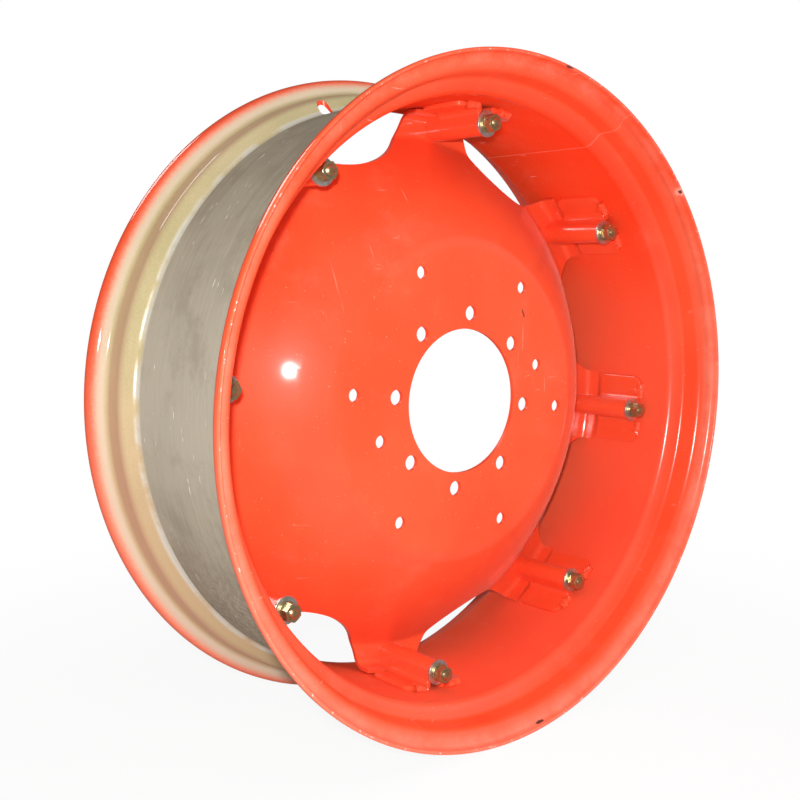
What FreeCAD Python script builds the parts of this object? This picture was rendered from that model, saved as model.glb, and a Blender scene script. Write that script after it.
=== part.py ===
import FreeCAD, Part
import os
import re

import Sketcher

# Steel tractor wheel: a drop-centre rim, a dished disc with eight ears, and eight hat-section
# lugs welded inside the rim, each clamped to an ear of the disc by one long bolt.
# The wheel turns about Y, its outer side faces -Y, and the origin is the middle of the rim.
# Millimetres. An angle runs from +X towards +Z.

SIZES = {
    # Rim, half of a profile that is the same on both sides
    "crest_radius": 381.0,
    "flange_half_gap": 120.0,
    "rim_wall": 4.0,
    "bend_radius": 6.5,
    "lip_flat": 4.3,
    "lip_round": 1.5,
    "flange_height": 18.8,
    "seat_rise": 2.0,
    "seat_width": 23.5,
    "well_drop": 17.2,
    "well_slope": 9.2,
    "valve_hole": 16.0,
    "valve_inset": 9.0,
    "valve_window": 2,
    # Disc, its hub from the bore outwards and its ears from the rim inwards
    "disc_wall": 5.0,
    "hub_face": -46.2,
    "bore_radius": 83.5,
    "stud_land": 9.45,
    "stud_hole": 8.65,
    "dowel_step": 26.9,
    "dowel_hole": 7.2,
    "dowel_count": 2,
    "outer_step": 59.4,
    "outer_hole": 7.2,
    "outer_count": 6,
    "hub_margin": 17.0,
    "hub_bend": 30.0,
    "rim_gap": 1.5,
    "ear_flat": 26.5,
    "ear_face": 47.0,
    "ear_bend": 14.0,
    "ear_lip_step": 4.0,
    "flange_bend": 8.0,
    "scallop_bite": 25.0,
    "scallop_radius": 103.0,
    # Lugs and the bolts through them
    "lug_count": 8,
    "first_angle": -6.5,
    "bolt_depth": 20.5,
    "bolt_radius": 6.0,
    "bolt_clearance": 2.0,
    "lug_wall": 5.0,
    "lug_width": 90.0,
    "lug_back": 23.8,
    "lug_length": 66.2,
    "lug_corner": 10.0,
    "lug_flare": 7.0,
    # Fasteners
    "washer_radius": 15.0,
    "washer_thick": 3.0,
    "washer_bore_gap": 0.5,
    "spring_radius": 10.3,
    "spring_thick": 2.5,
    "spring_slit": 2.0,
    "nut_flats": 18.0,
    "nut_height": 10.8,
    "nut_face_share": 0.95,
    "nut_chamfer": 30.0,
    "thread_gap": 0.05,
    "head_height": 7.5,
    "bolt_tail": 2.8,
}

# Radii and places that follow from the sizes, each from the ones before it
DERIVED = {
    "seat_radius": "crest_radius - rim_wall - flange_height",
    "seat_start_radius": "seat_radius - seat_rise",
    "well_radius": "seat_start_radius - well_drop",
    "seat_start": "flange_half_gap - seat_width",
    "well_half": "seat_start - well_slope",
    "valve_offset": "seat_start - valve_inset",
    "stud_circle": "bore_radius + stud_land + stud_hole",
    "dowel_circle": "stud_circle + dowel_step",
    "outer_circle": "stud_circle + outer_step",
    "hub_flat": "outer_circle + hub_margin",
    "ear_start": "well_radius - rim_gap - disc_wall - ear_flat",
    "ear_lip": "lug_back + ear_lip_step",
    "scallop_bottom": "ear_start - scallop_bite",
    "bolt_circle": "well_radius - bolt_depth",
}
NAMES = [*SIZES, *DERIVED]

os.makedirs("parts", exist_ok=True)
doc = FreeCAD.newDocument("TractorWheel")
sheet = doc.addObject("Spreadsheet::Sheet", "Sizes")
cells = [*SIZES.values(), *(f"={formula}" for formula in DERIVED.values())]
for row, (alias, cell) in enumerate(zip(NAMES, cells), start=1):
    sheet.set(f"A{row}", alias)
    sheet.set(f"B{row}", str(cell))
    sheet.setAlias(f"B{row}", alias)
doc.recompute()

AXLE = FreeCAD.Vector(0, -1, 0)
QUARTER_TURN = FreeCAD.Rotation(FreeCAD.Vector(1, 0, 0), 90)
sub_parts = []


def sized(expression):
    """An expression on the sheet's names, as other objects have to write it."""
    return re.sub(r"[a-z_]+", lambda word: f"Sizes.{word[0]}" if word[0] in NAMES else word[0], expression)


def number(expression):
    """The number that an expression on the sheet's names has now."""
    found = sheet.evalExpression(sized(expression))
    return float(getattr(found, "Value", found))


# Places and radii that several pieces share
FLANGE_FACE = "flange_half_gap + rim_wall"
LIP_END = f"{FLANGE_FACE} + bend_radius + lip_flat"
TUNNEL = "bolt_radius + bolt_clearance"
CROWN = f"{TUNNEL} + lug_wall"
EAR_CROWN = f"{TUNNEL} + disc_wall"
EAR_OUTER = "well_radius - rim_gap"
EAR_INNER = f"{EAR_OUTER} - disc_wall"
EAR_BACK = "ear_face + disc_wall"
LUG_FRONT = "lug_back - lug_length"
SPRING_SEAT = f"{LUG_FRONT} - washer_thick"
NUT_SEAT = f"{SPRING_SEAT} - spring_thick"
BOLT_TIP = f"{NUT_SEAT} - nut_height - bolt_tail"
HEAD_SEAT = f"{EAR_BACK} + washer_thick"
LUG_STEP = "360 / lug_count"


def origin_feature(body, role):
    return next(item for item in body.Origin.OriginFeatures if item.Role == role)


def new_body(label):
    body = doc.addObject("PartDesign::Body", label)
    body.Label = label
    sub_parts.append(body)
    return body


def new_sketch(body, name, plane, offset=None):
    sketch = body.newObject("Sketcher::SketchObject", name)
    sketch.AttachmentSupport = [(origin_feature(body, plane), "")]
    sketch.MapMode = "FlatFace"
    if offset:
        sketch.setExpression("AttachmentOffset.Base.z", sized(offset))
    return sketch


def pin_point(sketch, edge, end, x, y):
    """Holds one end of an edge at a place given by two expressions."""
    for kind, place in (("DistanceX", x), ("DistanceY", y)):
        index = sketch.addConstraint(Sketcher.Constraint(kind, -1, 1, edge, end, number(place)))
        sketch.setExpression(f"Constraints[{index}]", sized(place))


def draw_outline(sketch, corners):
    """A closed outline. A corner is (x, y), or where an arc leaves it (x, y, mid_x, mid_y, held, size).

    The size that holds the arc is its Radius, or DistanceX, the place of its centre along X.
    """
    places = [FreeCAD.Vector(number(c[0]), number(c[1]), 0) for c in corners]
    ends = []
    for index, corner in enumerate(corners):
        start, finish = places[index], places[(index + 1) % len(corners)]
        if len(corner) == 2:
            edge = sketch.addGeometry(Part.LineSegment(start, finish))
        else:
            middle = FreeCAD.Vector(number(corner[2]), number(corner[3]), 0)
            edge = sketch.addGeometry(Part.Arc(start, middle, finish))
        order = sorted((1, 2), key=lambda end: sketch.getPoint(edge, end).distanceToPoint(start))
        ends.append((edge, *order))
    for index, (edge, _, last) in enumerate(ends):
        after, after_first, _ = ends[(index + 1) % len(ends)]
        sketch.addConstraint(Sketcher.Constraint("Coincident", edge, last, after, after_first))
    for (edge, first, _), corner in zip(ends, corners):
        pin_point(sketch, edge, first, corner[0], corner[1])
        if len(corner) > 2:
            held, size = corner[4:]
            target = (edge,) if held == "Radius" else (-1, 1, edge, 3)
            index = sketch.addConstraint(Sketcher.Constraint(held, *target, number(size)))
            sketch.setExpression(f"Constraints[{index}]", sized(size))


def draw_circle(sketch, x, radius):
    """A circle centred on the sketch's X axis."""
    circle = Part.Circle(FreeCAD.Vector(number(x), 0, 0), FreeCAD.Vector(0, 0, 1), number(radius))
    edge = sketch.addGeometry(circle)
    sketch.addConstraint(Sketcher.Constraint("PointOnObject", edge, 3, -1))
    along = sketch.addConstraint(Sketcher.Constraint("DistanceX", -1, 1, edge, 3, number(x)))
    sketch.setExpression(f"Constraints[{along}]", sized(x))
    size = sketch.addConstraint(Sketcher.Constraint("Radius", edge, number(radius)))
    sketch.setExpression(f"Constraints[{size}]", sized(radius))


def revolve(body, sketch):
    turn = body.newObject("PartDesign::Revolution", f"{body.Name}Turn")
    turn.Profile = sketch
    turn.ReferenceAxis = (sketch, ["V_Axis"])
    turn.Angle = 360
    doc.recompute()


def round_edges(body, name, wanted, radius):
    """Rounds each edge of the body so far that the test picks."""
    base = body.Tip
    names = [f"Edge{i}" for i, edge in enumerate(base.Shape.Edges, start=1) if wanted(edge)]
    fillet = body.newObject("PartDesign::Fillet", name)
    fillet.Base = (base, names)
    fillet.setExpression("Radius", sized(radius))
    doc.recompute()


def rings(*places):
    """A test for full circles about Y, each given by its radius and its place along Y."""
    wanted = [(number(radius), number(y)) for radius, y in places]

    def test(edge):
        if not isinstance(edge.Curve, Part.Circle):
            return False
        radius, y = edge.Curve.Radius, edge.Curve.Center.y
        return any(abs(radius - r) < 0.01 and abs(y - place) < 0.01 for r, place in wanted)

    return test


def both_sides(*places):
    return [(radius, f"{sign} ( {y} )") for radius, y in places for sign in ("1 *", "-1 *")]


def around(body, feature, count):
    """Repeats the last feature round the axle."""
    pattern = body.newObject("PartDesign::PolarPattern", f"{feature.Name}Ring")
    pattern.Originals = [feature]
    pattern.Axis = (origin_feature(body, "Y_Axis"), [""])
    pattern.Angle = 360
    pattern.setExpression("Occurrences", sized(count))
    body.Tip = pattern
    doc.recompute()


def cut_through(body, sketch):
    """Cuts the sketch right through the body, to both sides of the sketch's plane."""
    before = body.Shape.Volume
    pocket = body.newObject("PartDesign::Pocket", f"{sketch.Name}Cut")
    pocket.Profile = sketch
    pocket.Type = "ThroughAll"
    pocket.Midplane = True
    doc.recompute()
    if pocket.Shape.Volume >= before:
        raise RuntimeError(f"{pocket.Name} cuts nothing")
    return pocket


def spun(index):
    """The placement of the lug, ear or fastener with this number."""
    angle = number(f"first_angle + {index} * {LUG_STEP}")
    return FreeCAD.Placement(FreeCAD.Vector(), FreeCAD.Rotation(AXLE, angle))


def build_rim():
    body = new_body("rim")
    sketch = new_sketch(body, "RimProfile", "XY_Plane")
    # The slope's tyre side lies nearer the middle, by the wall and half the slope's angle
    shift = "rim_wall * tan( atan( well_drop / well_slope ) / 2 )"
    outer_side = [
        ("crest_radius", LIP_END),
        ("crest_radius", "flange_half_gap"),
        ("seat_radius + rim_wall", "flange_half_gap"),
        ("seat_start_radius + rim_wall", f"seat_start - {shift}"),
        ("well_radius + rim_wall", f"well_half - {shift}"),
    ]
    inner_side = [
        ("crest_radius - rim_wall", LIP_END),
        ("crest_radius - rim_wall", FLANGE_FACE),
        ("seat_radius", FLANGE_FACE),
        ("seat_start_radius", "seat_start"),
        ("well_radius", "well_half"),
    ]
    front_outer = [(r, f"-1 * ( {y} )") for r, y in outer_side]
    front_inner = [(r, f"-1 * ( {y} )") for r, y in inner_side]
    draw_outline(sketch, front_outer + outer_side[::-1] + inner_side + front_inner[::-1])
    revolve(body, sketch)
    # Each bend of the rolled section keeps the wall's thickness
    hollow = [inner_side[1], outer_side[2], inner_side[3], outer_side[4]]
    full = [outer_side[1], inner_side[2], outer_side[3], inner_side[4]]
    round_edges(body, "RimInnerBends", rings(*both_sides(*hollow)), "bend_radius")
    round_edges(body, "RimOuterBends", rings(*both_sides(*full)), "bend_radius + rim_wall")
    lips = [outer_side[0], inner_side[0]]
    round_edges(body, "RimLips", rings(*both_sides(*lips)), "lip_round")
    # The valve hole goes through the slope behind the disc, half way between two lugs
    hole = body.newObject("PartDesign::SubtractiveCylinder", "ValveHole")
    hole.setExpression("Radius", sized("valve_hole / 2"))
    hole.setExpression("Height", sized("crest_radius"))
    hole.AttachmentOffset = FreeCAD.Placement(
        FreeCAD.Vector(0, number("valve_offset"), 0), FreeCAD.Rotation(FreeCAD.Vector(0, 1, 0), 90))
    hole.Placement = hole.AttachmentOffset
    doc.recompute()
    body.Placement = FreeCAD.Placement(
        FreeCAD.Vector(), FreeCAD.Rotation(AXLE, number(f"first_angle + {LUG_STEP} * ( valve_window + 0.5 )")))


def draw_arch(sketch, radius, far):
    """A slot's outline round the bolt's place, open side outwards and closed off at a far radius."""
    draw_outline(sketch, [
        (far, radius),
        ("bolt_circle", radius, f"bolt_circle - ( {radius} )", "0", "DistanceX", "bolt_circle"),
        ("bolt_circle", f"-1 * ( {radius} )"),
        (far, f"-1 * ( {radius} )"),
    ])


def build_disc():
    body = new_body("disc")
    sketch = new_sketch(body, "DiscProfile", "XY_Plane")
    # The cone's back is shorter at both bends, by the wall and half the cone's angle
    slope = "( ear_face - hub_face ) / ( ear_start - hub_flat )"
    shift = f"disc_wall * tan( atan( {slope} ) / 2 )"
    front = [
        ("bore_radius", "hub_face"),
        ("hub_flat", "hub_face"),
        ("ear_start", "ear_face"),
        (EAR_INNER, "ear_face"),
        (EAR_INNER, "ear_lip"),
    ]
    back = [
        ("bore_radius", "hub_face + disc_wall"),
        (f"hub_flat - {shift}", "hub_face + disc_wall"),
        (f"ear_start - {shift}", EAR_BACK),
        (EAR_OUTER, EAR_BACK),
        (EAR_OUTER, "ear_lip"),
    ]
    draw_outline(sketch, front + back[::-1])
    revolve(body, sketch)
    round_edges(body, "HubBend", rings(front[1]), "hub_bend")
    round_edges(body, "HubBendBack", rings(back[1]), "hub_bend - disc_wall")
    round_edges(body, "EarBend", rings(front[2]), "ear_bend")
    round_edges(body, "EarBendBack", rings(back[2]), "ear_bend + disc_wall")
    round_edges(body, "FlangeBend", rings(front[3]), "flange_bend")
    round_edges(body, "FlangeBendBack", rings(back[3]), "flange_bend + disc_wall")

    # Eight round scallops leave eight ears, half way between them
    scallop = new_sketch(body, "Scallop", "XZ_Plane")
    scallop.setExpression("AttachmentOffset.Rotation.Angle", sized(f"{LUG_STEP} / 2"))
    draw_circle(scallop, "scallop_bottom + scallop_radius", "scallop_radius")
    around(body, cut_through(body, scallop), "lug_count")

    # The ears' edges are flanged forwards, and round the bolt the flange follows its slot
    crown = new_sketch(body, "EarCrown", "XZ_Plane", f"-1 * ( {EAR_BACK} - disc_wall / 2 )")
    draw_arch(crown, EAR_CROWN, f"{EAR_OUTER} - disc_wall / 2")
    pad = body.newObject("PartDesign::Pad", "EarCrownPad")
    pad.Profile = crown
    pad.setExpression("Length", sized(f"{EAR_BACK} - disc_wall / 2 - lug_back"))
    doc.recompute()
    around(body, pad, "lug_count")
    slot = new_sketch(body, "EarSlot", "XZ_Plane")
    draw_arch(slot, TUNNEL, "well_radius")
    around(body, cut_through(body, slot), "lug_count")

    for name, circle, radius, count in (
        ("StudHole", "stud_circle", "stud_hole", "lug_count"),
        ("OuterHole", "outer_circle", "outer_hole", "outer_count"),
    ):
        hole = new_sketch(body, name, "XZ_Plane")
        draw_circle(hole, circle, radius)
        around(body, cut_through(body, hole), count)
    # Two more holes face each other, half way between two ears
    dowel = new_sketch(body, "DowelHole", "XZ_Plane")
    dowel.setExpression("AttachmentOffset.Rotation.Angle", sized(f"{LUG_STEP} / 2"))
    draw_circle(dowel, "dowel_circle", "dowel_hole")
    around(body, cut_through(body, dowel), "dowel_count")
    body.Placement = spun(0)


def build_lug(index):
    """One pressed bracket: a tunnel round the bolt, and two wings that follow the rim's well."""
    body = new_body(f"rim_lug_{index + 1}")
    sketch = new_sketch(body, f"LugSection{index}", "XZ_Plane", "-1 * lug_back")
    wing_inner = "well_radius - lug_wall"
    half_angle = "lug_width / 2 / well_radius * 1rad"
    middle = "lug_width / 4 / well_radius * 1rad"

    def polar(radius, angle):
        return f"( {radius} ) * cos( {angle} )", f"( {radius} ) * sin( {angle} )"

    def across(radius, half):
        return f"sqrt( ( {radius} ) ^ 2 - ( {half} ) ^ 2 )", half

    def arc(start, radius):
        return start + polar(radius, middle) + ("Radius", radius)

    # One half of the section, from the tunnel's inside round to its crown
    half = [
        ("bolt_circle", TUNNEL),
        arc(across("well_radius", TUNNEL), "well_radius"),
        polar("well_radius", half_angle),
        arc(polar(wing_inner, half_angle), wing_inner),
        across(wing_inner, CROWN),
        ("bolt_circle", CROWN, f"bolt_circle - ( {CROWN} )", "0", "DistanceX", "bolt_circle"),
    ]

    def mirrored(corner, after):
        """The same corner below the axis, which the outline meets in the other order."""
        flipped = (corner[0], f"-1 * ( {corner[1]} )")
        if len(after) == 2 or after[4] == "DistanceX":
            return flipped
        return flipped + (after[2], f"-1 * ( {after[3]} )") + after[4:]

    below = [mirrored(half[i], half[i - 1]) for i in range(len(half) - 1, 0, -1)]
    tunnel_top = (f"bolt_circle - ( {TUNNEL} )", "0", "DistanceX", "bolt_circle")
    draw_outline(sketch, half + below + [("bolt_circle", f"-1 * ( {TUNNEL} )", *tunnel_top)])
    pad = body.newObject("PartDesign::Pad", f"LugPad{index}")
    pad.Profile = sketch
    pad.setExpression("Length", sized("lug_length"))
    doc.recompute()

    flare = FreeCAD.Vector(number(across(wing_inner, CROWN)[0]), 0, number(CROWN))
    corner = FreeCAD.Vector(*[number(value) for value in polar("well_radius", half_angle)], 0)

    def at_flare(edge):
        place = edge.CenterOfMass
        return abs(place.x - flare.x) < 0.01 and abs(abs(place.z) - flare.z) < 0.01

    def at_corner(edge):
        wall = number("lug_wall")
        side = min(abs(vertex.Point.z) for vertex in edge.Vertexes)
        return edge.BoundBox.YLength < 0.01 and side > corner.y - wall and edge.Length < wall + 0.01

    round_edges(body, f"LugFlare{index}", at_flare, "lug_flare")
    round_edges(body, f"LugCorners{index}", at_corner, "lug_corner")
    body.Placement = spun(index)


def cylinder(name, radius, start, length):
    """A round bar on the bolt's line, from a place along Y towards the wheel's outer side."""
    bar = doc.addObject("Part::Cylinder", name)
    bar.setExpression("Radius", sized(radius))
    bar.setExpression("Height", sized(length))
    return on_bolt_line(bar, start)


def on_bolt_line(shape, start):
    shape.Placement = FreeCAD.Placement(FreeCAD.Vector(), QUARTER_TURN)
    shape.setExpression("Placement.Base.x", sized("bolt_circle"))
    shape.setExpression("Placement.Base.y", sized(start))
    return shape


def hexagon(name, start, length, free_end):
    """A six-sided bar, with its corners turned off at its free end."""
    bar = doc.addObject("Part::Prism", f"{name}Bar")
    bar.Polygon = 6
    bar.setExpression("Circumradius", sized("nut_flats / 2 / cos( 30deg )"))
    bar.setExpression("Height", sized(length))
    on_bolt_line(bar, start)
    cone = doc.addObject("Part::Cone", f"{name}Cone")
    narrow = "nut_flats / 2 * nut_face_share"
    wide = f"{narrow} + {length} / tan( nut_chamfer * 1deg )"
    radii = (wide, narrow) if free_end == "front" else (narrow, wide)
    for place, radius in zip(("Radius1", "Radius2"), radii):
        cone.setExpression(place, sized(radius))
    cone.setExpression("Height", sized(length))
    on_bolt_line(cone, start)
    return combined("Common", f"{name}Hexagon", bar, cone)


def combined(kind, name, first, second):
    result = doc.addObject(f"Part::{kind}", name)
    result.Base = first
    result.Tool = second
    return result


def finished(shape, label, index):
    """Names the finished fastener and turns it to its lug."""
    shape.Label = f"{label}_{index + 1}"
    shape.Placement = spun(index)
    sub_parts.append(shape)


def build_fasteners(index):
    bore = "bolt_radius + washer_bore_gap"
    for label, start in (("head_washer", f"{EAR_BACK} + washer_thick"), ("nut_washer", LUG_FRONT)):
        name = f"{label.title().replace('_', '')}{index}"
        plate = cylinder(f"{name}Plate", "washer_radius", start, "washer_thick")
        hole = cylinder(f"{name}Hole", bore, start, "washer_thick")
        finished(combined("Cut", name, plate, hole), label, index)

    coil = cylinder(f"Spring{index}Coil", "spring_radius", SPRING_SEAT, "spring_thick")
    hole = cylinder(f"Spring{index}Hole", bore, SPRING_SEAT, "spring_thick")
    ring = combined("Cut", f"Spring{index}Ring", coil, hole)
    slit = doc.addObject("Part::Box", f"Spring{index}Slit")
    slit.setExpression("Length", sized("spring_radius * 2"))
    slit.setExpression("Width", sized("spring_slit"))
    slit.setExpression("Height", sized("spring_thick"))
    on_bolt_line(slit, SPRING_SEAT)
    finished(combined("Cut", f"Spring{index}", ring, slit), "spring_washer", index)

    nut_bar = hexagon(f"Nut{index}", NUT_SEAT, "nut_height", "front")
    nut_hole = cylinder(f"Nut{index}Hole", "bolt_radius + thread_gap", NUT_SEAT, "nut_height")
    finished(combined("Cut", f"Nut{index}", nut_bar, nut_hole), "nut", index)

    head = hexagon(f"Bolt{index}", f"{HEAD_SEAT} + head_height", "head_height", "back")
    shank = cylinder(f"Bolt{index}Shank", "bolt_radius", HEAD_SEAT, f"{HEAD_SEAT} - ( {BOLT_TIP} )")
    finished(combined("Fuse", f"Bolt{index}", head, shank), "lug_bolt", index)


def check_and_write():
    doc.recompute()
    for item in doc.Objects:
        if "Invalid" in item.State or "Error" in item.State:
            raise RuntimeError(f"{item.Name} failed: {item.State}")
    for part in sub_parts:
        if part.Shape.isNull() or not part.Shape.isValid():
            raise RuntimeError(f"{part.Label} has no valid shape")
    for part in sub_parts:
        part.Shape.exportStep(f"parts/{part.Label}.step")
        print(part.Label, round(part.Shape.Volume), len(part.Shape.Solids))


build_rim()
build_disc()
for lug in range(int(number("lug_count"))):
    build_lug(lug)
    build_fasteners(lug)
check_and_write()
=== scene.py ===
import math

import bmesh
import bpy
from mathutils import Matrix, Vector, noise


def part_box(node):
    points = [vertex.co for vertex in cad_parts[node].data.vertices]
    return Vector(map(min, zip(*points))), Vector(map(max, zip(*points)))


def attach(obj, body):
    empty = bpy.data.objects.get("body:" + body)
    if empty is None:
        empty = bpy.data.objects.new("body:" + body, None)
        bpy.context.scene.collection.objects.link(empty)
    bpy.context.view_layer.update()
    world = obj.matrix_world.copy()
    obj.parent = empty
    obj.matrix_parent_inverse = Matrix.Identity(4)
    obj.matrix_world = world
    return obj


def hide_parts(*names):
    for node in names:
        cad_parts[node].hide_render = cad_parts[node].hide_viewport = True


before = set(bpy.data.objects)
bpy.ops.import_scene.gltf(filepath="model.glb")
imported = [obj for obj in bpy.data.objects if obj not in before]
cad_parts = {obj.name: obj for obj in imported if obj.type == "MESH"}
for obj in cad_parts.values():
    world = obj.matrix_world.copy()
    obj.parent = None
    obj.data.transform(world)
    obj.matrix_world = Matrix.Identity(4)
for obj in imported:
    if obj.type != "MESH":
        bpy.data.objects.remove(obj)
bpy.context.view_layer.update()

MM = 0.001
SHARP_ANGLE = math.radians(35)
LUG_COUNT = 8
LUG_STEP = 2 * math.pi / LUG_COUNT
FIRST_ANGLE = math.radians(-6.5)

# Rim section, metres: the same on both sides of the middle
CREST = 381 * MM
LIP_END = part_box("rim")[1].y
RIM_WALL = 4 * MM
FLANGE_INSIDE = 120 * MM
SEAT_RADIUS = 358.2 * MM
SEAT_START_RADIUS = 356.2 * MM
SEAT_START = 96.5 * MM
WELL_RADIUS = 339 * MM
WELL_HALF = 87.3 * MM
BEND = 6.5 * MM
LIP_ROUND = 1.5 * MM
RIM_STEPS = 288
VALVE_HOLE = 16 * MM
VALVE_OFFSET = 87.5 * MM
VALVE_ANGLE = FIRST_ANGLE + 2.5 * LUG_STEP
SEAM_ANGLE = math.radians(60.9)
STAR_CHIP = (0.2856, -0.1327, 0.2463)
LIP_CHIPS = [(0.075, -0.1340, 0.3725), (0.049, -0.1277, -0.3739)]

# Disc
HUB_FACE = -46.2 * MM
EAR_FACE = 47 * MM
DOME_START = 170 * MM
DOME_END = 308 * MM
DOME_RISE = 46 * MM
DOME_RINGS = 14
DISC_SCRATCHES = [((0.1135, -0.0307, 0.1637), 5), ((0.0983, -0.0461, 0.0990), 4)]

# Lugs and bolts
BOLT_CIRCLE = 318.5 * MM
LUG_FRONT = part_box("rim_lug_3")[0].y
LUG_WIDTH = 90 * MM
LUG_CORNER = 10 * MM
CROWN_RADIUS = 13 * MM
HEAD_HEIGHT = 7.5 * MM
NUT_FLATS = 18 * MM
BOLT_ENDS = [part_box("lug_bolt_3")[end].y for end in (0, 1)]


class Value:
    """A shader socket that can be used in sums: each operation adds a Math node."""

    def __init__(self, finish, socket):
        self.finish = finish
        self.socket = socket

    def math(self, operation, *others):
        sockets = dict(enumerate((self, *others)))
        return self.finish.node("ShaderNodeMath", {"operation": operation}, sockets)

    def __add__(self, other):
        return self.math("ADD", other)

    __radd__ = __add__

    def __mul__(self, other):
        return self.math("MULTIPLY", other)

    __rmul__ = __mul__

    def __sub__(self, other):
        return self.math("SUBTRACT", other)

    def __rsub__(self, other):
        return self.finish.node("ShaderNodeMath", {"operation": "SUBTRACT"}, {0: other, 1: self})

    def __truediv__(self, other):
        return self.math("DIVIDE", other)

    def __abs__(self):
        return self.math("ABSOLUTE")


class Finish:
    """A procedural material under construction."""

    def __init__(self, name):
        self.material = bpy.data.materials.new(name)
        self.material.use_nodes = True
        self.tree = self.material.node_tree
        self.shader = next(n for n in self.tree.nodes if n.type == "BSDF_PRINCIPLED")
        self.place = self.node("ShaderNodeTexCoord", output="Object")
        split = self.node("ShaderNodeSeparateXYZ", sockets={0: self.place}, output=None)
        self.x, self.y, self.z = (Value(self, split.outputs[i]) for i in range(3))
        self.radius = (self.x * self.x + self.z * self.z).math("SQRT")
        self.angle = self.z.math("ARCTAN2", self.x)

    def node(self, kind, settings=None, sockets=None, output=0):
        """Adds a node, sets its settings first, then gives its sockets their values or links."""
        made = self.tree.nodes.new(kind)
        for name, setting in (settings or {}).items():
            setattr(made, name, setting)
        for key, value in (sockets or {}).items():
            self.feed(made.inputs[key], value)
        return made if output is None else Value(self, made.outputs[output])

    def feed(self, socket, value):
        if isinstance(value, Value):
            self.tree.links.new(value.socket, socket)
        elif isinstance(value, tuple) and len(value) == 3 and socket.type == "RGBA":
            socket.default_value = (*value, 1)
        else:
            socket.default_value = value

    def set(self, **sockets):
        """Feeds the shader's own sockets, named with underscores for spaces."""
        for name, value in sockets.items():
            self.feed(self.shader.inputs[name.replace("_", " ")], value)

    def noise(self, scale, detail=3.0, rough=0.5, at=None, distortion=0.0):
        return self.node("ShaderNodeTexNoise", sockets={
            "Vector": at or self.place, "Scale": scale, "Detail": detail,
            "Roughness": rough, "Distortion": distortion})

    def stretched(self, sizes, turn=(0, 0, 0)):
        """The place on the piece, turned and stretched for scratches and brushing."""
        return self.node("ShaderNodeMapping", sockets={
            "Vector": self.place, "Rotation": turn, "Scale": sizes})

    def around(self, along, across):
        """A place that runs round the axle, so that streaks follow the wheel's turning."""
        return self.node("ShaderNodeCombineXYZ", sockets={
            0: self.x / self.radius * along, 1: self.y * across, 2: self.z / self.radius * along})

    def near(self, place, size, stretch=(1, 1, 1), turn=(0, 0, 0)):
        """1 at a place on the piece, falling to 0 at its size; a small noise frays the edge."""
        away = self.node("ShaderNodeMapping", {"vector_type": "TEXTURE"}, {
            "Vector": self.place, "Location": place, "Rotation": turn, "Scale": stretch})
        far = self.node("ShaderNodeVectorMath", {"operation": "LENGTH"}, {0: away}, output=1)
        return 1 - self.ramp(far + (self.noise(420, 3) - 0.5) * size, size * 0.6, size)

    def ramp(self, value, low, high):
        """0 below low, 1 above high, smooth between."""
        return self.node("ShaderNodeMapRange", {"interpolation_type": "SMOOTHSTEP"}, {
            "Value": value, "From Min": low, "From Max": high})

    def band(self, value, low, high, soft):
        return self.ramp(value, low - soft, low) * (1 - self.ramp(value, high, high + soft))

    def mix(self, amount, first, second):
        return self.node("ShaderNodeMix", {"data_type": "RGBA"},
                         {0: amount, 6: first, 7: second}, output=2)

    def bump(self, height, strength, distance):
        self.set(Normal=self.node("ShaderNodeBump", sockets={
            "Height": height, "Strength": strength, "Distance": distance}))


def orange_peel(finish):
    """The slight waviness of sprayed enamel."""
    return finish.noise(240, 2) * 0.6 + finish.noise(900, 1) * 0.4


RED = (0.90, 0.100, 0.037)
RED_DEEP = (0.88, 0.078, 0.026)
RED_DUSTY = (0.90, 0.175, 0.100)
RED_SHADED = (0.86, 0.056, 0.016)
# Pale red that is painted on as sheen, on the lower flanges and lips
RED_PAINTED_SHEEN = (0.94, 0.270, 0.175)
SCRATCH_PALE = (0.88, 0.46, 0.36)
CHIP_DARK = (0.09, 0.035, 0.025)
CHIP_PALE = (0.86, 0.70, 0.64)
STEEL_GREY = (0.43, 0.365, 0.275)
STEEL_DARK = (0.32, 0.262, 0.195)
# Steel colour painted on as a highlight
STEEL_PAINTED_HIGHLIGHT = (0.55, 0.485, 0.390)
STEEL_BROWN = (0.23, 0.170, 0.130)
STEEL_BRIGHT = (0.80, 0.78, 0.73)
STEEL_SCRATCH = (0.88, 0.86, 0.82)
PRIMER = (0.56, 0.455, 0.265)
PRIMER_OLIVE = (0.44, 0.370, 0.190)
PRIMER_PINK = (0.55, 0.305, 0.190)
PRIMER_PALE = (0.74, 0.575, 0.465)
GOLD = (0.56, 0.43, 0.20)
GOLD_GREEN = (0.46, 0.44, 0.25)
GOLD_STAIN = (0.16, 0.10, 0.05)
ZINC = (0.70, 0.69, 0.66)
ZINC_DULL = (0.58, 0.56, 0.50)
ZINC_STAIN = (0.30, 0.26, 0.20)
BRONZE = (0.52, 0.33, 0.17)
BRONZE_GOLD = (0.56, 0.42, 0.22)
BRONZE_STAIN = (0.14, 0.07, 0.035)


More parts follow.
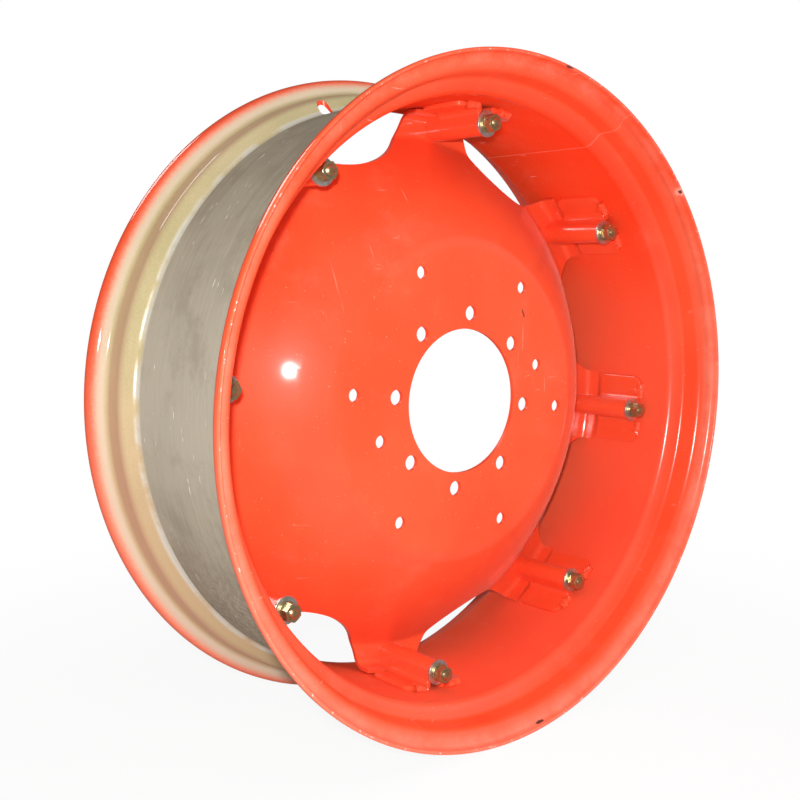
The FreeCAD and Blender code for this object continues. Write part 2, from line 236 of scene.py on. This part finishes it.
def red_enamel(finish, light, deep):
    """The colour of the sprayed red enamel with its dust and fine scratches, and a scratch mask."""
    colour = finish.mix(finish.ramp(finish.noise(5, 3, 0.55), 0.35, 0.65), deep, light)
    dust = finish.ramp(finish.noise(17, 6, 0.62), 0.52, 0.78) * 0.30
    colour = finish.mix(dust, colour, RED_DUSTY)
    one_way = finish.noise(1, 2, 0.4, finish.stretched((40, 6, 420), (0.3, 0.4, 0.2)))
    other_way = finish.noise(1, 2, 0.4, finish.stretched((360, 30, 14), (0.2, -0.5, 0.6)))
    patches = finish.ramp(finish.noise(9, 2), 0.52, 0.66)
    marks = (finish.ramp(one_way, 0.70, 0.76) + finish.ramp(other_way, 0.71, 0.77)) * patches * 0.5
    specks = finish.ramp(finish.noise(420, 1), 0.745, 0.78) * 0.4
    return finish.mix(marks + specks, colour, SCRATCH_PALE), marks


def disc_paint():
    """Red enamel on the disc, with two scratches down to the steel."""
    finish = Finish("disc_red_enamel")
    colour, marks = red_enamel(finish, RED, RED_DEEP)
    for place, length in DISC_SCRATCHES:
        scratch = finish.near(place, 0.0016, (1, 1, length), (0, math.radians(-25), 0))
        colour = finish.mix(scratch * 0.85, colour, CHIP_DARK)
    finish.set(Base_Color=colour, Roughness=finish.noise(30, 3) * 0.10 + 0.38 + marks * 0.2,
               Specular_IOR_Level=0.14, Coat_Weight=finish.ramp(finish.radius, 0.165, 0.185) * 0.85 + 0.05,
               Coat_Roughness=0.08, Sheen_Weight=0.11, Sheen_Roughness=0.28, Sheen_Tint=(1.0, 0.76, 0.66))
    finish.bump(orange_peel(finish), 0.05, 0.0006)
    return finish.material


def lug_paint():
    """Red enamel on the lugs and their welds, glossier than the disc's."""
    finish = Finish("lug_red_enamel")
    colour, marks = red_enamel(finish, RED, RED_DEEP)
    finish.set(Base_Color=colour, Roughness=finish.noise(40, 3) * 0.10 + 0.28 + marks * 0.2,
               Specular_IOR_Level=0.20, Coat_Weight=1.0, Coat_Roughness=0.20)
    finish.bump(orange_peel(finish), 0.07, 0.0006)
    return finish.material


def rim_paint():
    """Red enamel inside the rim: duller in the well, glossy on its bends, chipped along the lips; the
    well's red is painted darker as painted shade, and the lower flanges carry a painted pale sheen.
    """
    finish = Finish("rim_red_enamel")
    offset = abs(finish.y)
    # Painted shade: the well's red is darker and deeper than the red of the bends and lips outside it.
    colour, marks = red_enamel(finish, RED_DEEP, RED_SHADED)
    out = finish.ramp(finish.radius, 0.341, 0.356)
    bright, _ = red_enamel(finish, RED, RED_DEEP)
    colour = finish.mix(out, colour, bright)
    from_seam = abs(finish.angle - SEAM_ANGLE) * WELL_RADIUS + finish.noise(60, 2) * 0.001
    seam = 1 - finish.ramp(from_seam, 0.0008, 0.0020)
    colour = finish.mix(seam * 0.18, colour, SCRATCH_PALE)
    lip = finish.ramp(finish.radius, 0.3765, 0.3800)
    chips = lip * finish.ramp(finish.noise(190, 3, 0.6), 0.61, 0.66)
    flange = finish.ramp(finish.radius, 0.359, 0.371)
    rubbed_with_painted_sheen = flange * finish.ramp(finish.noise(24, 5, 0.7), 0.35, 0.65)
    lower = 1 - finish.ramp(finish.z, 0.0, 0.25)
    # Painted pale sheen on the flange: in noisy patches, which are also a little rougher, and more on its
    # lower half.
    colour = finish.mix(rubbed_with_painted_sheen * 0.3 + flange * lower * 0.4, colour, RED_PAINTED_SHEEN)
    colour = finish.mix(lower * (1 - out) * 0.30, colour, RED_DUSTY)
    colour = finish.mix(finish.near(STAR_CHIP, 0.008) * 0.6, colour, SCRATCH_PALE)
    colour = finish.mix(finish.near(STAR_CHIP, 0.003), colour, CHIP_DARK)
    for place in LIP_CHIPS:
        colour = finish.mix(finish.near(place, 0.003, (3, 1, 1)), colour, CHIP_DARK)
    colour = finish.mix(chips, colour, CHIP_PALE)
    gloss = finish.ramp(offset, 0.074, 0.084)
    finish.set(Base_Color=colour, Roughness=0.46 - gloss * 0.16 + (marks + rubbed_with_painted_sheen) * 0.10,
               Specular_IOR_Level=0, Coat_Weight=gloss * 0.95, Coat_Roughness=0.22)
    finish.bump(orange_peel(finish) - chips * 0.8 + seam * 1.2, 0.06, 0.0006)
    return finish.material


def tyre_side():
    """Bare brushed steel in the well, pale primer on the seats, and red overspray on the lips."""
    finish = Finish("tyre_side_steel_and_primer")
    offset = abs(finish.y)
    clouds = finish.noise(9, 5, 0.6)
    brushing = finish.noise(1, 4, 0.6, finish.around(7, 900))
    streaks = finish.noise(1, 3, 0.6, finish.around(2, 160))
    steel = finish.mix(finish.ramp(clouds * 0.7 + streaks * 0.3, 0.40, 0.66), STEEL_GREY, STEEL_DARK)
    # Noisy brown patches, only towards the bottom of the well.
    brown_low_patches = finish.ramp(finish.noise(11, 4, 0.6, finish.around(5, 30)), 0.36, 0.62)
    brown_low_patches = brown_low_patches * (1 - finish.ramp(finish.z, -0.24, -0.08))
    steel = finish.mix(brown_low_patches * 0.85, steel, STEEL_BROWN)
    # A painted highlight: the steel is painted paler in a band across the middle of the well.
    painted_highlight_band = 1 - finish.ramp(abs(finish.z - 0.03), 0.03, 0.20)
    steel = finish.mix(painted_highlight_band * 0.6, steel, STEEL_PAINTED_HIGHLIGHT)
    steel = finish.mix(finish.ramp(finish.noise(16, 5, 0.7), 0.48, 0.70) * 0.5, steel, STEEL_DARK)
    steel = finish.mix(finish.ramp(brushing, 0.50, 0.74) * 0.16, steel, STEEL_BRIGHT)
    scratch = finish.ramp(finish.noise(1, 2, 0.5, finish.around(16, 420)), 0.70, 0.73)
    scratch = scratch * finish.ramp(finish.noise(14, 2), 0.50, 0.58)
    steel = finish.mix(scratch, steel, STEEL_SCRATCH)
    speckle = finish.ramp(finish.noise(620, 2), 0.42, 0.62) * 0.35
    primer = finish.mix(finish.ramp(finish.noise(7, 4), 0.35, 0.65) * 0.7 + speckle, PRIMER, PRIMER_OLIVE)
    seat = finish.band(offset, 0.098, 0.113, 0.006) * (1 - finish.ramp(finish.radius, 0.363, 0.367))
    lower = 1 - finish.ramp(finish.z, -0.15, 0.14)
    primer = finish.mix(seat * 0.5 + lower * 0.5, primer, PRIMER_PINK)
    primer = finish.mix(finish.ramp(finish.radius, 0.3625, 0.3680) * 0.6, primer, PRIMER_PALE)
    edge = finish.ramp(offset + (clouds - 0.5) * 0.002, 0.0825, 0.0840)
    colour = finish.mix(edge, steel, primer)
    # A pale band along the edge of the primer, in patches, a little metallic.
    pale_edge_band = finish.band(offset + (clouds - 0.5) * 0.002, 0.0835, 0.0865, 0.0016)
    pale_edge_band = pale_edge_band * finish.ramp(finish.noise(30, 3), 0.30, 0.60)
    colour = finish.mix(pale_edge_band * 0.6, colour, STEEL_BRIGHT)
    mist = finish.noise(300, 2) * 0.003 + clouds * 0.003
    spray = finish.ramp(finish.radius + mist, 0.3725, 0.3835)
    # The overspray on the lower lips is painted paler, as painted sheen.
    colour = finish.mix(spray, colour, finish.mix(lower * 0.5, RED, RED_PAINTED_SHEEN))
    bare = 1 - edge
    finish.set(Base_Color=colour, Metallic=pale_edge_band * 0.3, Specular_IOR_Level=0,
               Roughness=0.42 + brushing * 0.10 - edge * 0.14 - scratch * 0.1,
               Coat_Weight=edge * 0.5, Coat_Roughness=0.08)
    grain = finish.noise(520, 2)
    finish.bump(brushing * bare * 0.25 + grain * edge * 0.6 - scratch * 0.5, 0.10, 0.0006)
    return finish.material


def plated(name, colour, tint, stain_colour, roughness):
    """Zinc plate: metal with a faint play of colour and small stains."""
    finish = Finish(name)
    hues = finish.mix(finish.ramp(finish.noise(160, 3), 0.4, 0.62), colour, tint)
    stain = finish.ramp(finish.noise(340, 4, 0.65), 0.54, 0.72)
    hues = finish.mix(stain * 0.6, hues, stain_colour)
    finish.set(Base_Color=hues, Metallic=0.9,
               Roughness=finish.noise(220, 3) * 0.2 + roughness + stain * 0.2)
    finish.bump(finish.noise(600, 2), 0.08, 0.0003)
    return finish.material


def in_scene(name, bm):
    """An object in the scene from a bmesh, which is used up."""
    mesh = bpy.data.meshes.new(name)
    bm.to_mesh(mesh)
    bm.free()
    made = bpy.data.objects.new(name, mesh)
    bpy.context.scene.collection.objects.link(made)
    return made


def new_piece(name, bm, *materials):
    """A finished piece on the wheel from a bmesh, whose faces are smooth but for its sharp edges."""
    piece = in_scene(name, bm)
    for material in materials:
        piece.data.materials.append(material)
    piece.data.shade_smooth()
    piece.data.set_sharp_from_angle(angle=SHARP_ANGLE)
    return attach(piece, "root")


def turn_to_lug(bm, index):
    """Turns what was made at the angle 0 to the place of a lug."""
    turn = Matrix.Rotation(-(FIRST_ANGLE + index * LUG_STEP), 3, "Y")
    bmesh.ops.rotate(bm, verts=bm.verts, cent=(0, 0, 0), matrix=turn)


def applied(piece):
    """Makes the piece's modifiers part of its mesh."""
    seen = piece.evaluated_get(bpy.context.evaluated_depsgraph_get())
    mesh = bpy.data.meshes.new_from_object(seen)
    piece.modifiers.clear()
    piece.data = mesh


def rounded_chain(bm, corners, segments):
    """A closed chain of edges in the XY plane with each corner rounded: (radius, y, bend)."""
    verts = [bm.verts.new((r, y, 0)) for r, y, _ in corners]
    for one, two in zip(verts, verts[1:] + verts[:1]):
        bm.edges.new((one, two))
    for vert, (_, _, bend) in zip(verts, corners):
        sides = [(edge.other_vert(vert).co - vert.co).normalized() for edge in vert.link_edges]
        turn = math.pi - sides[0].angle(sides[1])
        bmesh.ops.bevel(bm, geom=[vert], offset=bend * math.tan(turn / 2), offset_type="OFFSET",
                        segments=segments, profile=0.5, affect="VERTICES", material=-1)


def spin_round(bm, steps):
    """Turns a section once round the axle."""
    bmesh.ops.spin(bm, geom=bm.verts[:] + bm.edges[:], cent=(0, 0, 0), axis=(0, 1, 0),
                   angle=2 * math.pi, steps=steps, use_merge=True)
    bmesh.ops.recalc_face_normals(bm, faces=bm.faces[:])


def make_rim(inside, outside):
    """The rolled section turned round the axle, red inside, steel and primer on the tyre's side."""
    flange = FLANGE_INSIDE + RIM_WALL
    outer = BEND + RIM_WALL
    slope = math.atan2(SEAT_START_RADIUS - WELL_RADIUS, SEAT_START - WELL_HALF)
    nearer = RIM_WALL * math.tan(slope / 2)
    tyre = [(CREST, LIP_END, LIP_ROUND), (CREST, FLANGE_INSIDE, outer),
            (SEAT_RADIUS + RIM_WALL, FLANGE_INSIDE, BEND),
            (SEAT_START_RADIUS + RIM_WALL, SEAT_START - nearer, outer),
            (WELL_RADIUS + RIM_WALL, WELL_HALF - nearer, BEND)]
    axle = [(CREST - RIM_WALL, LIP_END, LIP_ROUND), (CREST - RIM_WALL, flange, BEND),
            (SEAT_RADIUS, flange, outer), (SEAT_START_RADIUS, SEAT_START, BEND),
            (WELL_RADIUS, WELL_HALF, outer)]
    front_tyre = [(r, -y, bend) for r, y, bend in tyre]
    front_axle = [(r, -y, bend) for r, y, bend in axle]
    bm = bmesh.new()
    rounded_chain(bm, front_tyre + tyre[::-1] + axle + front_axle[::-1], 6)
    spin_round(bm, RIM_STEPS)
    for face in bm.faces:
        middle = face.calc_center_median()
        outwards = face.normal.dot(Vector((middle.x, 0, middle.z)).normalized())
        inwards = -face.normal.y * math.copysign(1, middle.y)
        face.material_index = 1 if outwards > 0.05 or inwards > 0.3 else 0
    rim = new_piece("rim_shell", bm, inside, outside)
    drill_valve_hole(rim)
    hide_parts("rim")


def drill_valve_hole(rim):
    """Cuts the valve hole through the rear slope of the well."""
    bm = bmesh.new()
    lying = Matrix.Translation((CREST, VALVE_OFFSET, 0)) @ Matrix.Rotation(math.pi / 2, 4, "Y")
    bmesh.ops.create_cone(bm, cap_ends=True, segments=32, radius1=VALVE_HOLE / 2,
                          radius2=VALVE_HOLE / 2, depth=CREST, matrix=lying)
    bmesh.ops.rotate(bm, verts=bm.verts, cent=(0, 0, 0),
                     matrix=Matrix.Rotation(-VALVE_ANGLE, 3, "Y"))
    drill = in_scene("valve_drill", bm)
    cut = rim.modifiers.new("valve_hole", "BOOLEAN")
    cut.operation = "DIFFERENCE"
    cut.object = drill
    applied(rim)
    rim.data.set_sharp_from_angle(angle=SHARP_ANGLE)
    bpy.data.objects.remove(drill)


def from_solid(node, name, material, edge_round, shape=None):
    """A piece made from a copy of a solid, merged, shaped and with its sharp edges slightly rounded."""
    bm = bmesh.new()
    bm.from_mesh(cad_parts[node].data)
    bmesh.ops.remove_doubles(bm, verts=bm.verts, dist=2e-6)
    bmesh.ops.dissolve_limit(bm, angle_limit=math.radians(0.3), verts=bm.verts, edges=bm.edges)
    if shape:
        shape(bm)
    piece = new_piece(name, bm, material)
    bevel = piece.modifiers.new("edge_round", "BEVEL")
    bevel.width = edge_round
    bevel.segments = 2
    bevel.limit_method = "ANGLE"
    bevel.angle_limit = math.radians(38)
    bevel.harden_normals = False
    weigh = piece.modifiers.new("true_normals", "WEIGHTED_NORMAL")
    weigh.keep_sharp = True
    weigh.weight = 80
    applied(piece)
    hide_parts(node)
    return piece


def press_dome(bm):
    """Cuts rings round the dish and lifts them, so that it is pressed slightly domed."""
    depth = EAR_FACE - HUB_FACE
    for ring in range(1, DOME_RINGS):
        bmesh.ops.bisect_plane(bm, geom=bm.verts[:] + bm.edges[:] + bm.faces[:], plane_no=(0, 1, 0),
                               plane_co=(0, HUB_FACE + depth * ring / DOME_RINGS, 0))
    slope = math.atan2(depth, DOME_END - DOME_START)
    for vert in bm.verts:
        out = Vector((vert.co.x, 0, vert.co.z))
        across = (out.length - DOME_START) / (DOME_END - DOME_START)
        if 0 < across < 1:
            lift = DOME_RISE * across * (1 - across) ** 1.5
            vert.co += out.normalized() * math.sin(slope) * lift
            vert.co.y -= math.cos(slope) * lift


def make_disc(material):
    disc = from_solid("disc", "wheel_disc", material, 0.7 * MM, shape=press_dome)


def make_lugs(material):
    for index in range(1, LUG_COUNT + 1):
        lug = from_solid(f"rim_lug_{index}", f"lug_{index}", material, 0.8 * MM)


def make_welds(material):
    """The rippled bead along the front end of each wing, round its corner and a little way back."""
    bead = 5.0 * MM
    place = Vector((WELL_RADIUS - 2.2 * MM, LUG_FRONT - 1.2 * MM, 0))
    start = (CROWN_RADIUS + 4 * MM) / WELL_RADIUS
    corner = (LUG_WIDTH / 2 - LUG_CORNER) / WELL_RADIUS
    for index in range(LUG_COUNT):
        for side in (1, -1):
            bm = bmesh.new()
            bmesh.ops.create_circle(bm, segments=10, radius=bead, cap_ends=True,
                                    matrix=Matrix.Translation(place))
            bmesh.ops.rotate(bm, verts=bm.verts, cent=(0, 0, 0),
                             matrix=Matrix.Rotation(-start * side, 3, "Y"))
            section = bm.faces[:] + bm.edges[:]
            swept = bmesh.ops.spin(bm, geom=section, cent=(0, 0, 0), axis=(0, -side, 0),
                                   angle=corner - start, steps=26)
            out = Vector((math.cos(corner), 0, side * math.sin(corner)))
            hinge = out * WELL_RADIUS + Vector((0, LUG_FRONT + LUG_CORNER, 0))
            bmesh.ops.spin(bm, geom=swept["geom_last"], cent=hinge, axis=out * side,
                           angle=math.radians(80), steps=14)
            bmesh.ops.recalc_face_normals(bm, faces=bm.faces[:])
            ripple(bm, bead, index * 7.3 + side)
            turn_to_lug(bm, index)
            piece = new_piece(f"weld_{index + 1}_{'upper' if side > 0 else 'lower'}", bm, material)


def ripple(bm, bead, seed):
    """Makes a smooth bead uneven, as run by hand."""
    bm.normal_update()
    for vert in bm.verts:
        lump = noise.noise(vert.co * 160 + Vector((seed, 0, 0)))
        wave = noise.noise(vert.co * 420 + Vector((0, seed, 0)))
        vert.co += vert.normal * bead * (0.24 * lump + 0.20 * wave)


def make_bolts(material):
    """Bolts with a domed, ringed end in front of the nut and a hexagon head behind the ear."""
    front, back = BOLT_ENDS
    seat = back - HEAD_HEIGHT
    corner = NUT_FLATS / math.sqrt(3)
    head_place = Matrix.Translation((BOLT_CIRCLE, seat + HEAD_HEIGHT / 2, 0))
    shank = [(0, front), (2.2, front), (4.1, front + 0.5 * MM),
             (5.2, front + 1.4 * MM), (5.95, front + 2.0 * MM)]
    for ring in range(3):
        groove = front + (2.2 + ring * 1.5) * MM
        shank += [(5.95, groove + 0.3 * MM), (5.35, groove + 0.9 * MM), (5.95, groove + 1.4 * MM)]
    shank += [(5.95, seat), (0, seat)]
    for index in range(LUG_COUNT):
        bm = bmesh.new()
        chain = [bm.verts.new((BOLT_CIRCLE + radius * MM, y, 0)) for radius, y in shank]
        for one, two in zip(chain, chain[1:]):
            bm.edges.new((one, two))
        bmesh.ops.spin(bm, geom=bm.verts[:] + bm.edges[:], cent=(BOLT_CIRCLE, 0, 0), axis=(0, 1, 0),
                       angle=2 * math.pi, steps=32, use_merge=True)
        bmesh.ops.remove_doubles(bm, verts=bm.verts, dist=1e-6)
        head = bmesh.ops.create_cone(
            bm, cap_ends=True, segments=6, radius1=corner, radius2=corner, depth=HEAD_HEIGHT,
            matrix=head_place @ Matrix.Rotation(math.pi / 2, 4, "X"))
        edges = {edge for vert in head["verts"] for edge in vert.link_edges}
        bmesh.ops.bevel(bm, geom=list(edges), offset=0.6 * MM, offset_type="OFFSET", segments=2,
                        profile=0.5, affect="EDGES", material=-1)
        bmesh.ops.recalc_face_normals(bm, faces=bm.faces[:])
        turn_to_lug(bm, index)
        piece = new_piece(f"bolt_{index + 1}", bm, material)
        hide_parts(f"lug_bolt_{index + 1}")


def make_nuts_and_washers(gold, silver):
    for index in range(1, LUG_COUNT + 1):
        for node, material, slot, edge in (
            ("nut", gold, "gold_zinc", 0.5 * MM),
            ("spring_washer", gold, "gold_zinc", 0.3 * MM),
            ("nut_washer", silver, "bright_zinc", 0.4 * MM),
            ("head_washer", silver, "bright_zinc", 0.4 * MM),
        ):
            piece = from_solid(f"{node}_{index}", f"plated_{node}_{index}", material, edge)


def make_camera():
    """The view of the photograph, from the left of the axle and a little above it."""
    camera = bpy.data.objects.new("camera", bpy.data.cameras.new("camera"))
    camera.data.lens = 49.19
    camera.data.sensor_width = 36
    right = Vector((0.7603, -0.6496, 0)).normalized()
    ahead = Vector((0.6452, 0.7551, -0.1169)).normalized()
    up = right.cross(ahead)
    turn = Matrix((right, up, -ahead)).transposed().to_4x4()
    camera.matrix_world = Matrix.Translation((-0.8702, -0.9519, 0.1488)) @ turn
    bpy.context.scene.collection.objects.link(camera)
    bpy.context.scene.camera = camera


def lamp(name, place, target, size, power, lights=True, mirrored=True):
    """A round soft lamp; it may be kept from lighting dull surfaces or from showing in shiny ones."""
    light = bpy.data.lights.new(name, "AREA")
    light.shape = "DISK"
    light.size = size
    light.energy = power
    holder = bpy.data.objects.new(name, light)
    holder.visible_diffuse = lights
    holder.visible_glossy = mirrored
    holder.location = place
    holder.rotation_euler = (Vector(target) - Vector(place)).to_track_quat("-Z", "Y").to_euler()
    bpy.context.scene.collection.objects.link(holder)


def make_light():
    """A flash beside the camera, soft lamps overhead and to the right, a window behind, a pale room."""
    lamp("flash", (-0.888, -0.935, 0.218), (0, 0, 0), 0.05, 14.8)
    lamp("overhead", (-0.9, -1.2, 2.6), (0, 0, 0), 2.2, 14, mirrored=False)
    lamp("right", (2.0, -1.4, 0.9), (0, 0, 0), 1.6, 29, mirrored=False)
    lamp("window", (-0.6, 1.5, 1.5), (0.2, 0, 0), 0.9, 20, lights=False)
    world = bpy.data.worlds.new("studio")
    world.use_nodes = True
    tree = world.node_tree
    background = tree.nodes["Background"]
    background.inputs["Color"].default_value = (1, 1, 1, 1)
    path = tree.nodes.new("ShaderNodeLightPath")
    strength = tree.nodes.new("ShaderNodeMapRange")
    strength.inputs["To Min"].default_value = 0.18
    strength.inputs["To Max"].default_value = 1.0
    tree.links.new(path.outputs["Is Camera Ray"], strength.inputs["Value"])
    tree.links.new(strength.outputs[0], background.inputs["Strength"])
    bpy.context.scene.world = world


def make_floor():
    """A white floor that keeps the wheel's shadow near it and fades into the background."""
    bm = bmesh.new()
    bmesh.ops.create_grid(bm, x_segments=1, y_segments=1, size=14,
                          matrix=Matrix.Translation((0, 0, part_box("rim")[0].z)))
    floor = in_scene("floor", bm)
    finish = Finish("floor_white")
    finish.set(Base_Color=(0.92, 0.92, 0.92), Roughness=0.9)
    path = finish.node("ShaderNodeLightPath", output=None)
    seen = Value(finish, path.outputs["Is Camera Ray"])
    away = finish.ramp((finish.x * finish.x + finish.y * finish.y).math("SQRT"), 0.35, 1.1)
    glow = finish.node("ShaderNodeEmission", sockets={"Color": (1, 1, 1), "Strength": 1.0})
    blend = finish.node("ShaderNodeMixShader", sockets={
        0: seen * (away * 0.08 + 0.92), 1: Value(finish, finish.shader.outputs[0]), 2: glow})
    output = next(n for n in finish.tree.nodes if n.type == "OUTPUT_MATERIAL")
    finish.tree.links.new(blend.socket, output.inputs["Surface"])
    floor.data.materials.append(finish.material)
    floor.visible_glossy = False


lug_red = lug_paint()
gold_zinc = plated("gold_zinc_plate", GOLD, GOLD_GREEN, GOLD_STAIN, 0.20)
bright_zinc = plated("bright_zinc_plate", ZINC, ZINC_DULL, ZINC_STAIN, 0.24)
bolt_bronze = plated("bolt_bronze_plate", BRONZE, BRONZE_GOLD, BRONZE_STAIN, 0.22)
make_rim(rim_paint(), tyre_side())
make_disc(disc_paint())
make_lugs(lug_red)
make_welds(lug_red)
make_bolts(bolt_bronze)
make_nuts_and_washers(gold_zinc, bright_zinc)
make_camera()
make_light()
make_floor()
bpy.context.scene.view_settings.view_transform = "Standard"
